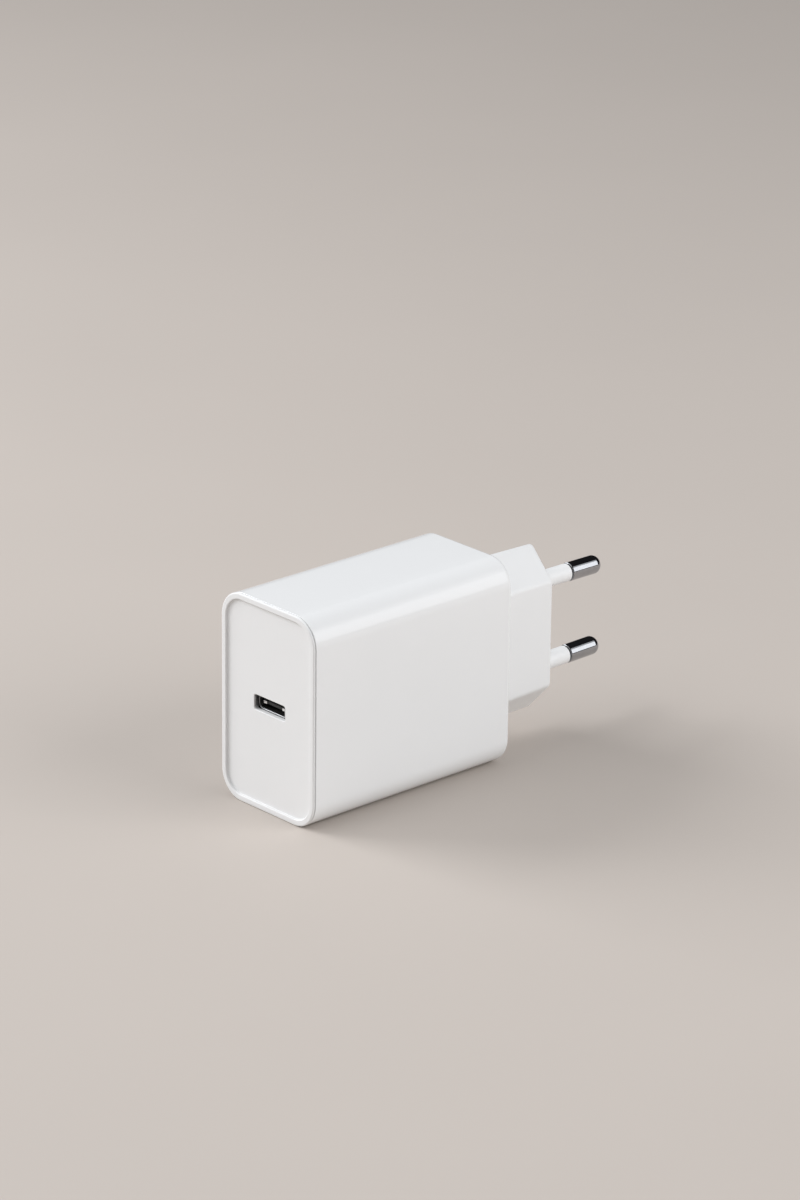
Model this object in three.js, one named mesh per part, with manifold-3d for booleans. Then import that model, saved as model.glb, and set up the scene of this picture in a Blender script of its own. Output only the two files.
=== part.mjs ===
// USB wall charger with a two-pin European plug, standing on its narrow side.
// Millimetres, +Z up. The port faces -Y and the pins point along +Y.
import * as THREE from "three";
import { mergeVertices } from "three/addons/utils/BufferGeometryUtils.js";
import Module from "manifold-3d";

const wasm = await Module();
wasm.setup();

// Body. Depths are measured back from the front of the rim.
const BODY_WIDTH = 27.8;
const BODY_HEIGHT = 44.4;
const BODY_DEPTH = 53.3;
const BODY_CORNER = 5.8;
const WALL = 1.8;
const REAR_WALL = 2;
const REAR_EDGE = 1;
const RAIL = 1.5;
const RAIL_FRONT = 10;
const RAIL_BACK = 46;

// Front cover: a rounded rim around a sunken panel, with a shadow gap behind the rim.
const RIM_WIDTH = 1.3;
const RIM_THICKNESS = 0.36;
const RIM_EDGE = 0.34;
const GAP_WIDTH = 0.3;
const GAP_DEPTH = 0.5;
const PANEL_DEPTH = 0.6;
const PANEL_THICKNESS = 1.05;
const PANEL_BACK = PANEL_DEPTH + PANEL_THICKNESS;
const SKIRT_END = 4.6;
const SKIRT_WALL = 1.1;
const HOUSING_START = RIM_THICKNESS + GAP_WIDTH;

// Port: a USB type C receptacle behind a slot in the panel.
const PORT_HEIGHT = 22.5;
const SLOT = { width: 9.3, height: 3.2, corner: 0.5 };
const SHELL = { width: 8.94, height: 3.16, corner: 1.3, wall: 0.3, back: 10.4 };
const LIP = { inner: 4.3, outer: 4.6, halfHeight: 1.2, front: 0.8, back: 2 };
const TONGUE = { halfWidth: 3.1, thickness: 0.7, front: 2.2, root: 6.6, base: 8.4, back: 10.2 };
const LATCH = { width: 0.28, halfThickness: 0.28, front: 1.95, back: 8.35, ring: 0.35 };
const HOOK = { width: 0.8, back: 2.18 };
const PORT_BOARD = { width: 17.2, thickness: 1, front: 5.2, back: 15 };

// Plug block: a tapered long hexagon with blunt points at the top and bottom.
const PLUG_HEIGHT = 22;
const PLUG_DEPTH = 18.7;
const PLUG_HALF_WIDTH = 6.5;
const PLUG_SHOULDER = 11.5;
const PLUG_POINT = 18.36;
const PLUG_POINT_ROUND = 1;
const PLUG_SHOULDER_ROUND = 1.6;
const PLUG_EDGE = 0.7;
const PLUG_BASE_WIDER = 0.47;
const PLUG_BASE_HIGHER = 0.5;
const PLUG_WALL = 1.7;
const PLUG_FACE = 3.5;
const SPIGOT_INSET = 1.2;
const SPIGOT_LENGTH = 3;

// Pins: 4 mm round pins, 19 mm long, that lean towards each other.
const PIN_LENGTH = 19;
const PIN_RADIUS = 2;
const PIN_SPACING = 18.5;
const PIN_TIP_SPACING = 18;
const PIN_LEAN = Math.atan((PIN_SPACING - PIN_TIP_SPACING) / 2 / PIN_LENGTH);
const SHANK_RADIUS = 1.4;
const TIP_ROUND = 1.7;
const TIP_FLAT = PIN_RADIUS - TIP_ROUND;
const COLLAR_RADIUS = 2.7;
const COLLAR_LENGTH = 1.2;
const STUB_LENGTH = 3.5;
const SLEEVE = { radius: 1.9, bore: 1.45, length: 10, sunk: 1, chamfer: 0.12 };
const SHOULDER_GAP = 0.35;
const CONTACT = { halfWidth: 1.5, thickness: 0.5, armX: -1.4, tipX: 1.4, legDepth: 48.6 };

// Clearance between pieces that slide together, and behind leaning ones.
const SLIDE = 0.05;
const PIN_STEPS = 20;

// Main board, upright along the length, with its parts on the +X side.
const BOARD_X = -8.4;
const BOARD = { front: 4.5, back: 50.5, height: 37.8, thickness: 1.2, corner: 1 };

// Parts on the board: their middles are given as depth and height above the table.
const BULK_CAPACITOR = { radius: 4, length: 17.5, crimp: 0.5, depth: 44.2 };
const BULK_HEIGHTS = { lower: 7.8, middle: 22.2, upper: 36.6 };
const OUTPUT_CAPACITOR = { radius: 3.15, length: 11, crimp: 0.5, depth: 9.6 };
const OUTPUT_HEIGHTS = { lower: 29.4, upper: 36.6 };
const FILM_CAPACITOR = { wide: 5.2, tall: 13.6, out: 11, edge: 0.4, depth: 37.2, height: 22.2 };
const LINE_FUSE = { wide: 8.2, tall: 4, out: 8, edge: 1.9, depth: 24.5, height: 36.2 };
const SAFETY_CAPACITOR = { wide: 7, tall: 3.4, out: 8.5, edge: 1.6, depth: 23.5, height: 6.3 };
const SURGE_DISC = { wide: 7, tall: 3, out: 9, edge: 1.4, depth: 14.9, height: 6.1 };
const OPTOCOUPLER = { wide: 4.6, tall: 4, out: 3.4, leads: 2, depth: 17.7, height: 36.6 };
const BRIDGE = { wide: 7, tall: 5, out: 2.4, leads: 4, depth: 32.9, height: 7.9 };
const SWITCH_CONTROLLER = { wide: 8, tall: 5, out: 1.3, leads: 6, depth: 24, height: 10.5 };
const SYNC_RECTIFIER = { wide: 6, tall: 5, out: 1.2, leads: 4, depth: 13, height: 29.5 };
const PROTOCOL_CHIP = { wide: 4, tall: 4, out: 1, leads: 6, depth: 10, height: 14 };
const CHIP_STANDOFF = 0.1;
const LEAD_THICKNESS = 0.3;
const LEAD_REACH = 0.8;

// Transformer: two E-shaped core halves around a wound bobbin, held off the board.
const TRANSFORMER = { depth: 26, height: 22.2, out: 8.8 };
const CORE = { length: 16, halfHeight: 10, thickness: 8, back: 3, leg: 2.6, centre: 3, gap: 0.05 };
const BOBBIN = { bore: 0.35, tube: 0.9, flange: 3.2, halfLength: 4.8, flangeThickness: 0.7 };
const WINDING = { inner: 0.95, outer: 2.6, length: 8 };
const TAPE = { inner: 2.65, outer: 2.8, length: 8 };

// Mains choke: a ring core with one winding over each half.
const CHOKE = { depth: 35, height: 37, out: 4.1, outer: 4, inner: 2, halfLength: 1.9 };
const WIRE = { lift: 0.1, cover: 0.6, split: 0.9, radius: 0.35, spread: 3, offset: 2.1 };

// Plates along the sides of the housing, given by their distance from the board face.
const THERMAL_PAD = { long: 12, tall: 15.4, near: 16.05, far: 19.55, depth: 26, height: 22.2 };
const HEAT_SPREADER = { long: 26, tall: 28, near: 19.55, far: 20.15, depth: 27, height: 22 };
const INSULATING_SHEET = { long: 44, tall: 34.4, near: -3.15, far: -2.9, depth: 27, height: 22.2 };

// The part's origin is under the middle of its whole length.
const TOTAL_LENGTH = BODY_DEPTH + PLUG_DEPTH + PIN_LENGTH;
const FRONT_Y = -TOTAL_LENGTH / 2;

const QUARTER_TURN = Math.PI / 2;
const FAR = 100;

const WHITE = { color: "#e9e9e8", roughness: 0.45, metalness: 0 };
const NICKEL = { color: "#b9babc", roughness: 0.2, metalness: 1 };
const BRASS = { color: "#c9a45a", roughness: 0.35, metalness: 1 };
const STEEL = { color: "#8f9194", roughness: 0.3, metalness: 1 };
const COPPER = { color: "#b8703c", roughness: 0.4, metalness: 0.8 };
const FERRITE = { color: "#3c3d40", roughness: 0.6, metalness: 0 };
const BLACK = { color: "#202124", roughness: 0.5, metalness: 0 };
const BOARD_GREEN = { color: "#2f6b45", roughness: 0.55, metalness: 0 };
const CAN_SLEEVE = { color: "#26272b", roughness: 0.4, metalness: 0.1 };
const CAN_METAL = { color: "#c2c4c8", roughness: 0.3, metalness: 0.8 };
const YELLOW = { color: "#d8b93a", roughness: 0.5, metalness: 0 };
const BROWN = { color: "#7a4a2a", roughness: 0.5, metalness: 0 };
const BLUE = { color: "#3c6fb0", roughness: 0.5, metalness: 0 };
const PALE_GREEN = { color: "#3f8f57", roughness: 0.5, metalness: 0 };
const PALE_PACKAGE = { color: "#e6e6e2", roughness: 0.5, metalness: 0 };
const RUBBER = { color: "#9aa7b5", roughness: 0.8, metalness: 0 };
const ALUMINIUM = { color: "#c4c6c9", roughness: 0.35, metalness: 1 };
const FILM = { color: "#efe9d8", roughness: 0.6, metalness: 0 };

// Closed three.js geometry as a solid that can be joined and cut.
function solidOf(geometry) {
  const plain = geometry.clone();
  plain.deleteAttribute("normal");
  plain.deleteAttribute("uv");
  const merged = mergeVertices(plain, 1e-4);
  return new wasm.Manifold(
    new wasm.Mesh({
      numProp: 3,
      vertProperties: merged.attributes.position.array,
      triVerts: new Uint32Array(merged.index.array),
    }),
  );
}

// A solid as three.js geometry with flat faces.
function geometryOf(solid) {
  const mesh = solid.getMesh();
  const geometry = new THREE.BufferGeometry();
  geometry.setAttribute("position", new THREE.BufferAttribute(mesh.vertProperties, 3));
  geometry.setIndex(new THREE.BufferAttribute(mesh.triVerts, 1));
  const flat = geometry.toNonIndexed();
  flat.computeVertexNormals();
  return flat;
}

function unite(solids) {
  return solids.reduce((whole, piece) => whole.add(piece));
}

// Box between two corners.
function block(x0, x1, y0, y1, z0, z1) {
  const box = new THREE.BoxGeometry(x1 - x0, y1 - y0, z1 - z0);
  box.translate((x0 + x1) / 2, (y0 + y1) / 2, (z0 + z1) / 2);
  return solidOf(box);
}

// Counter-clockwise outline through corners, each rounded by its own radius.
function roundedOutline(corners) {
  const shape = new THREE.Shape();
  const count = corners.length;
  corners.forEach(([x, y, radius], i) => {
    const corner = new THREE.Vector2(x, y);
    const last = corners[(i + count - 1) % count];
    const next = corners[(i + 1) % count];
    const back = new THREE.Vector2(last[0], last[1]).sub(corner).normalize();
    const ahead = new THREE.Vector2(next[0], next[1]).sub(corner).normalize();
    const half = Math.acos(back.dot(ahead)) / 2;
    const inward = back.clone().add(ahead).normalize();
    const centre = corner.clone().addScaledVector(inward, radius / Math.sin(half));
    const reach = radius / Math.tan(half);
    const start = corner.clone().addScaledVector(back, reach).sub(centre).angle();
    const end = corner.clone().addScaledVector(ahead, reach).sub(centre).angle();
    shape.absarc(centre.x, centre.y, radius, start, end, false);
  });
  return shape;
}

function roundedRectangle(width, height, radius) {
  return roundedOutline([
    [width / 2, -height / 2, radius],
    [width / 2, height / 2, radius],
    [-width / 2, height / 2, radius],
    [-width / 2, -height / 2, radius],
  ]);
}

// Outline pushed up along Z from z = 0.
function extruded(shape, height, curveSegments = 2) {
  return new THREE.ExtrudeGeometry(shape, { depth: height, curveSegments, bevelEnabled: false });
}

// Outline between two depths behind the front, which faces +Z, with round edges if asked.
function slab(shape, front, back, { edge = 0, curveSegments = 4 } = {}) {
  const geometry = new THREE.ExtrudeGeometry(shape, {
    depth: back - front - 2 * edge,
    curveSegments,
    bevelEnabled: edge > 0,
    bevelThickness: edge,
    bevelSize: edge,
    bevelOffset: -edge,
    bevelSegments: 3,
  });
  geometry.translate(0, 0, edge - back);
  return geometry;
}

// Round shape turned about Y from [radius, height] points.
function turned(profile, steps) {
  const points = profile.map(([radius, height]) => new THREE.Vector2(radius, height));
  return new THREE.LatheGeometry(points, steps);
}

// Body outline shrunk on every side by an inset.
function bodyOutline(inset) {
  const corner = Math.max(BODY_CORNER - inset, 0.5);
  return roundedRectangle(BODY_WIDTH - 2 * inset, BODY_HEIGHT - 2 * inset, corner);
}

function bodySlab(inset, front, back) {
  return solidOf(slab(bodyOutline(inset), front, back));
}

// Plug outline shrunk on every side by an inset.
function plugOutline(inset) {
  const slope = Math.atan((PLUG_POINT - PLUG_SHOULDER) / PLUG_HALF_WIDTH);
  const side = PLUG_HALF_WIDTH - inset;
  const point = PLUG_POINT - inset / Math.cos(slope);
  const shoulder = point - side * Math.tan(slope);
  const pointRound = Math.max(PLUG_POINT_ROUND - inset, 0.4);
  return roundedOutline([
    [side, -shoulder, PLUG_SHOULDER_ROUND],
    [side, shoulder, PLUG_SHOULDER_ROUND],
    [0, point, pointRound],
    [-side, shoulder, PLUG_SHOULDER_ROUND],
    [-side, -shoulder, PLUG_SHOULDER_ROUND],
    [0, -point, pointRound],
  ]);
}

function plugSlab(inset, front, back) {
  return solidOf(slab(plugOutline(inset), front, back, { curveSegments: 2 }));
}

// Sleeve of the charger: open at the front, with a rear wall that lets the plug spigot through.
function mainHousing() {
  const outline = bodyOutline(0);
  const outer = solidOf(slab(outline, HOUSING_START - REAR_EDGE, BODY_DEPTH, { edge: REAR_EDGE }));
  const front = block(-FAR, FAR, -FAR, FAR, -HOUSING_START, FAR);
  const inside = bodySlab(WALL, -1, BODY_DEPTH - REAR_WALL);
  const opening = plugSlab(SPIGOT_INSET - SLIDE, BODY_DEPTH - SPIGOT_LENGTH, BODY_DEPTH + 1);
  const shell = outer
    .subtract(front)
    .subtract(inside)
    .subtract(opening.translate([0, PLUG_HEIGHT - BODY_HEIGHT / 2, 0]));
  return shell.add(boardRail(-1)).add(boardRail(1));
}

// Rail on the floor or the roof of the housing, against the board's face.
function boardRail(side) {
  const x = BOARD_X + SLIDE;
  const wall = BODY_HEIGHT / 2 - WALL;
  const y0 = Math.min(side * (wall - RAIL), side * (wall + WALL / 2));
  const y1 = Math.max(side * (wall - RAIL), side * (wall + WALL / 2));
  return block(x, x + 1, y0, y1, -RAIL_BACK, -RAIL_FRONT);
}

// Rim, sunken panel with the port slot, and the skirt that plugs into the housing.
function frontCover() {
  const rounded = solidOf(slab(bodyOutline(0), 0, 2 * RIM_EDGE + 0.1, { edge: RIM_EDGE }));
  const rim = rounded.intersect(bodySlab(-1, -1, RIM_THICKNESS));
  const step = bodySlab(GAP_DEPTH, RIM_THICKNESS / 2, HOUSING_START);
  const skirt = bodySlab(WALL + SLIDE, RIM_THICKNESS / 2, SKIRT_END);
  const hollow = bodySlab(WALL + SLIDE + SKIRT_WALL, PANEL_BACK, SKIRT_END + 1);
  const recess = bodySlab(RIM_WIDTH, -1, PANEL_DEPTH);
  const slotOutline = roundedRectangle(SLOT.width, SLOT.height, SLOT.corner);
  const slot = solidOf(slab(slotOutline, -1, SKIRT_END));
  const slotRise = PORT_HEIGHT - BODY_HEIGHT / 2;
  return unite([rim, step, skirt])
    .subtract(recess)
    .subtract(hollow)
    .subtract(slot.translate([0, slotRise, 0]));
}

// Where a pin stands on the plug face: +Y of this frame runs out along the pin.
function pinFrame(side) {
  const frame = new THREE.Group();
  frame.position.set(0, (side * PIN_SPACING) / 2, -PLUG_DEPTH);
  frame.rotation.x = -QUARTER_TURN - side * PIN_LEAN;
  frame.updateMatrix();
  return frame;
}

// Widens the plug towards its root, where it meets the body.
function taperPlug(geometry) {
  const position = geometry.attributes.position;
  const taperLength = PLUG_DEPTH - PLUG_EDGE;
  for (let i = 0; i < position.count; i += 1) {
    const share = Math.max((taperLength + position.getZ(i)) / taperLength, 0);
    position.setX(i, position.getX(i) * (1 + (PLUG_BASE_WIDER / PLUG_HALF_WIDTH) * share));
    position.setY(i, position.getY(i) * (1 + (PLUG_BASE_HIGHER / PLUG_POINT) * share));
  }
}

// Stepped hole for a pin and its sleeve.
function pinHole(side) {
  const shank = SHANK_RADIUS + SLIDE;
  const seat = SLEEVE.radius + SLIDE;
  const profile = [
    [0, -PLUG_FACE - 1],
    [shank, -PLUG_FACE - 1],
    [shank, -SLEEVE.sunk - SLIDE],
    [seat, -SLEEVE.sunk - SLIDE],
    [seat, 1],
    [0, 1],
  ];
  return solidOf(turned(profile, PIN_STEPS).applyMatrix4(pinFrame(side).matrix));
}

// Tapered block with a hollow spigot that goes through the rear wall of the housing.
function plugBody() {
  const shape = slab(plugOutline(0), -PLUG_EDGE, PLUG_DEPTH, { edge: PLUG_EDGE, curveSegments: 2 });
  taperPlug(shape);
  const tapered = solidOf(shape).subtract(block(-FAR, FAR, -FAR, FAR, 0, FAR));
  const spigot = plugSlab(SPIGOT_INSET, -SPIGOT_LENGTH, 1);
  const hollow = plugSlab(SPIGOT_INSET + PLUG_WALL, -SPIGOT_LENGTH - 1, PLUG_DEPTH - PLUG_FACE);
  return tapered.add(spigot).subtract(hollow).subtract(pinHole(1)).subtract(pinHole(-1));
}

// Turned pin: a stub and collar inside the plug, a thin shank, and a full-width round tip.
function pin() {
  const length = (PIN_LENGTH - TIP_FLAT * Math.sin(PIN_LEAN)) / Math.cos(PIN_LEAN);
  const collarFront = -PLUG_FACE - 2 * SLIDE;
  const collarBack = collarFront - COLLAR_LENGTH;
  const shoulder = SLEEVE.length + SHOULDER_GAP;
  const profile = [
    [0, -PLUG_FACE - STUB_LENGTH],
    [SHANK_RADIUS, -PLUG_FACE - STUB_LENGTH],
    [SHANK_RADIUS, collarBack],
    [COLLAR_RADIUS, collarBack],
    [COLLAR_RADIUS, collarFront],
    [SHANK_RADIUS, collarFront],
    [SHANK_RADIUS, shoulder],
    [PIN_RADIUS - 0.1, shoulder],
    [PIN_RADIUS, shoulder + 0.1],
  ];
  const arcSteps = 5;
  for (let i = 0; i <= arcSteps; i += 1) {
    const angle = (i / arcSteps) * QUARTER_TURN;
    const across = TIP_FLAT + TIP_ROUND * Math.cos(angle);
    profile.push([across, length - TIP_ROUND + TIP_ROUND * Math.sin(angle)]);
  }
  profile.push([0, length]);
  return turned(profile, PIN_STEPS);
}

// Insulating sleeve around the root of a pin, sunk into the plug face.
function pinSleeve() {
  const { radius, bore, length, sunk, chamfer } = SLEEVE;
  const profile = [
    [bore, -sunk],
    [radius, -sunk],
    [radius, length - chamfer],
    [radius - chamfer, length],
    [bore, length],
    [bore, -sunk],
  ];
  return turned(profile, PIN_STEPS);
}

// Bent strip from the inner end of a pin to the main board, drawn about the pin's axis.
function contactStrip() {
  const { halfWidth, thickness, armX, tipX, legDepth } = CONTACT;
  const pinEnd = PLUG_DEPTH - PLUG_FACE - STUB_LENGTH - SLIDE;
  const leg = legDepth - BODY_DEPTH;
  return unite([
    block(armX, tipX, -halfWidth, halfWidth, -pinEnd, thickness - pinEnd),
    block(armX - thickness, armX, -halfWidth, halfWidth, -pinEnd, -leg),
    block(BOARD_X, armX, -halfWidth, halfWidth, -leg - thickness, -leg),
  ]);
}

// Thin metal tube of the receptacle, with a flat lip on each side that lines the end of the slot.
function portShell() {
  const { width, height, corner, wall, back } = SHELL;
  const outline = roundedRectangle(width, height, corner);
  outline.holes.push(roundedRectangle(width - 2 * wall, height - 2 * wall, corner - wall));
  const lips = [-1, 1].map((side) => {
    const x0 = Math.min(side * LIP.inner, side * LIP.outer);
    const x1 = Math.max(side * LIP.inner, side * LIP.outer);
    return block(x0, x1, -LIP.halfHeight, LIP.halfHeight, -LIP.back, -LIP.front);
  });
  return unite([solidOf(slab(outline, PANEL_BACK, back)), ...lips]);
}

// Plastic tongue that carries the contacts, with the base block that closes the shell.
function portTongue() {
  const { halfWidth, thickness, front, root, base, back } = TONGUE;
  const inset = 2 * (SHELL.wall + SLIDE);
  const baseCorner = SHELL.corner - SHELL.wall - SLIDE;
  const baseOutline = roundedRectangle(SHELL.width - inset, SHELL.height - inset, baseCorner);
  const tongueOutline = roundedRectangle(halfWidth * 2, thickness, 0.15);
  const stepWidth = halfWidth - 0.1;
  const stepHeight = thickness / 2 + 0.3;
  return unite([
    solidOf(slab(tongueOutline, front, back, { curveSegments: 1 })),
    solidOf(slab(baseOutline, base, back, { curveSegments: 2 })),
    block(-stepWidth, stepWidth, -stepHeight, stepHeight, -base - 0.5, -root),
  ]);
}

// Metal latch frame along both edges of the tongue.
function latchFrame() {
  const { width, halfThickness, front, back, ring } = LATCH;
  const inner = TONGUE.halfWidth + 0.02;
  const outer = inner + width;
  const ringHalf = 0.9;
  const openHalf = 0.68;
  const sides = [-1, 1].flatMap((side) => {
    const [x0, x1] = [side * inner, side * outer].sort((a, b) => a - b);
    const [x2, x3] = [side * (inner - HOOK.width), side * outer].sort((a, b) => a - b);
    const rail = block(x0, x1, -halfThickness, halfThickness, -back, -front);
    const hook = block(x2, x3, -halfThickness, halfThickness, -HOOK.back, -front);
    return [rail, hook];
  });
  const plate = block(-outer, outer, -ringHalf, ringHalf, -back, ring - back);
  const opening = block(-inner, inner, -openHalf, openHalf, -back - ring, 2 * ring - back);
  return unite([...sides, plate.subtract(opening)]);
}

// Can with a rounded rim and a groove near its foot, standing along +Y.
function canCapacitor({ radius, length, crimp }) {
  const profile = [
    [0, 0],
    [radius - crimp, 0],
    [radius, crimp],
    [radius, 1.6],
    [radius - 0.35, 1.9],
    [radius, 2.2],
    [radius, length - crimp],
    [radius - crimp, length],
    [0, length],
  ];
  return turned(profile, 18);
}

// Upright dipped or boxed part with round corners.
function upright({ wide, tall, out, edge }) {
  return extruded(roundedRectangle(wide, tall, edge), out, 1);
}

// Low package with a row of short leads on two sides.
function chip({ wide, tall, out, leads }) {
  const pitch = wide / leads;
  const reach = tall / 2 + LEAD_REACH;
  const pieces = [block(-wide / 2, wide / 2, -tall / 2, tall / 2, CHIP_STANDOFF, out)];
  for (let i = 0; i < leads; i += 1) {
    const x = pitch * (i + 0.5) - wide / 2;
    pieces.push(block(x - pitch / 4, x + pitch / 4, -reach, reach, 0, LEAD_THICKNESS));
  }
  return geometryOf(unite(pieces));
}

// Ferrite E half: a back plate and three legs that meet the other half at x = 0.
function coreHalf() {
  const { length, halfHeight, thickness, back, leg, centre, gap } = CORE;
  const end = length / 2;
  const inside = end - back;
  const legFoot = halfHeight - leg;
  const upper = [
    [end, halfHeight],
    [gap, halfHeight],
    [gap, legFoot],
    [inside, legFoot],
    [inside, centre],
    [gap, centre],
  ];
  const lower = upper.map(([x, y]) => [x, -y]).reverse();
  const points = [...upper, ...lower].map(([x, y]) => new THREE.Vector2(x, y));
  const geometry = extruded(new THREE.Shape(points), thickness);
  geometry.translate(0, 0, -thickness / 2);
  return geometry;
}

// Tube around the centre leg of the core, grown outwards by two offsets, centred along Z.
function legTube(inner, outer, length) {
  const ring = (grow) => {
    const width = CORE.thickness + 2 * grow;
    return roundedRectangle(width, 2 * (CORE.centre + grow), Math.max(grow * 0.8, 0.3));
  };
  const outline = ring(outer);
  outline.holes.push(ring(inner));
  const geometry = extruded(outline, length);
  geometry.translate(0, 0, -length / 2);
  return geometry;
}

// Bobbin with a flange and a foot at each end. The board lies towards +X of this shape.
function transformerBobbin() {
  const { bore, tube, flange, halfLength, flangeThickness } = BOBBIN;
  const pieces = [solidOf(legTube(bore, tube, 2 * halfLength))];
  for (const side of [-1, 1]) {
    const z = side * (halfLength - flangeThickness / 2);
    const half = flangeThickness / 2;
    const plate = solidOf(legTube(bore, flange, flangeThickness)).translate([0, 0, z]);
    const footStart = CORE.thickness / 2 + 1;
    const foot = block(footStart, TRANSFORMER.out, -CORE.centre, CORE.centre, z - half, z + half);
    pieces.push(plate, foot);
  }
  return geometryOf(unite(pieces));
}

// Ring core of the choke, grown on every side, with its axis along Y.
function chokeRing(grow) {
  const { outer, inner, halfLength } = CHOKE;
  const half = halfLength + grow;
  const profile = [
    [inner - grow, -half],
    [outer + grow, -half],
    [outer + grow, half],
    [inner - grow, half],
    [inner - grow, -half],
  ];
  return turned(profile, 20);
}

// Winding over the half of the ring towards -Z, with two leads down to the board.
function chokeWinding() {
  const { lift, cover, split, radius, spread, offset } = WIRE;
  const turns = solidOf(chokeRing(cover)).subtract(solidOf(chokeRing(lift)));
  const half = turns.intersect(block(-FAR, FAR, -FAR, FAR, -FAR, -split));
  const leadTop = -CHOKE.halfLength - 0.3;
  const leads = [-1, 1].map((side) => {
    const lead = new THREE.CylinderGeometry(radius, radius, CHOKE.out + leadTop, 8);
    lead.translate(side * spread, (leadTop - CHOKE.out) / 2, -offset);
    return solidOf(lead);
  });
  return geometryOf(unite([half, ...leads]));
}

function plate({ long, tall, near, far }) {
  return new THREE.BoxGeometry(long, tall, far - near);
}

function addMesh(parent, name, geometry, finish) {
  const mesh = new THREE.Mesh(geometry, new THREE.MeshStandardMaterial(finish));
  mesh.name = name;
  parent.add(mesh);
  return mesh;
}

function addGroup(parent, x, y, z) {
  const group = new THREE.Group();
  group.position.set(x, y, z);
  parent.add(group);
  return group;
}

// Stands a mesh on the board's face, in the board's frame.
function addOnBoard(board, name, geometry, finish, { depth, height }) {
  const mesh = addMesh(board, name, geometry, finish);
  mesh.position.set(depth, height, 0);
  return mesh;
}

// Puts a chip on the back of the board.
function addOnBack(board, name, size, finish) {
  const mesh = addOnBoard(board, name, chip(size), finish, size);
  mesh.position.z = -BOARD.thickness;
  mesh.rotation.y = Math.PI;
}

function addShells(charger) {
  const body = addGroup(charger, 0, BODY_HEIGHT / 2, 0);
  addMesh(body, "main_housing", geometryOf(mainHousing()), WHITE);
  addMesh(body, "front_cover", geometryOf(frontCover()), WHITE);
}

function addPlug(charger) {
  const plug = addGroup(charger, 0, PLUG_HEIGHT, -BODY_DEPTH);
  addMesh(plug, "plug_body", geometryOf(plugBody()), WHITE);
  for (const [side, pole] of [[1, "live"], [-1, "neutral"]]) {
    const frame = pinFrame(side);
    plug.add(frame);
    addMesh(frame, `${pole}_pin`, pin(), NICKEL);
    addMesh(frame, `${pole}_pin_sleeve`, pinSleeve(), WHITE);
    const strip = addMesh(plug, `${pole}_contact_strip`, geometryOf(contactStrip()), BRASS);
    strip.position.y = (side * PIN_SPACING) / 2;
  }
}

function addPort(charger) {
  const port = addGroup(charger, 0, PORT_HEIGHT, 0);
  addMesh(port, "port_shell", geometryOf(portShell()), STEEL);
  addMesh(port, "port_tongue", geometryOf(portTongue()), BLACK);
  addMesh(port, "port_latch_frame", geometryOf(latchFrame()), NICKEL);
  const { width, thickness, front, back } = PORT_BOARD;
  const box = new THREE.BoxGeometry(width, thickness, back - front);
  const board = addMesh(port, "port_board", box, BOARD_GREEN);
  board.position.set(
    BOARD_X + width / 2,
    -(SHELL.height + thickness) / 2,
    -(front + back) / 2,
  );
}

function addTransformer(board) {
  const { depth, height, out } = TRANSFORMER;
  const transformer = addGroup(board, depth, height, out);
  addMesh(transformer, "transformer_core_rear", coreHalf(), FERRITE);
  addMesh(transformer, "transformer_core_front", coreHalf(), FERRITE).rotation.z = Math.PI;
  const wound = addGroup(transformer, 0, 0, 0);
  wound.rotation.y = QUARTER_TURN;
  addMesh(wound, "transformer_bobbin", transformerBobbin(), BLACK);
  addMesh(wound, "transformer_winding", legTube(WINDING.inner, WINDING.outer, WINDING.length), COPPER);
  addMesh(wound, "transformer_tape", legTube(TAPE.inner, TAPE.outer, TAPE.length), YELLOW);
}

function addChoke(board) {
  const { depth, height, out } = CHOKE;
  const choke = addGroup(board, depth, height, out);
  choke.rotation.x = QUARTER_TURN;
  addMesh(choke, "choke_core", chokeRing(0), FERRITE);
  addMesh(choke, "choke_winding_upper", chokeWinding(), COPPER);
  addMesh(choke, "choke_winding_lower", chokeWinding(), COPPER).rotation.y = Math.PI;
}

function addCapacitors(board, name, size, heights, finish) {
  for (const [level, height] of Object.entries(heights)) {
    const place = { depth: size.depth, height };
    const can = addOnBoard(board, `${name}_${level}`, canCapacitor(size), finish, place);
    can.rotation.x = QUARTER_TURN;
  }
}

function addPlate(board, name, size, finish) {
  const mesh = addMesh(board, name, plate(size), finish);
  mesh.position.set(size.depth, size.height, (size.near + size.far) / 2);
}

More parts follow.
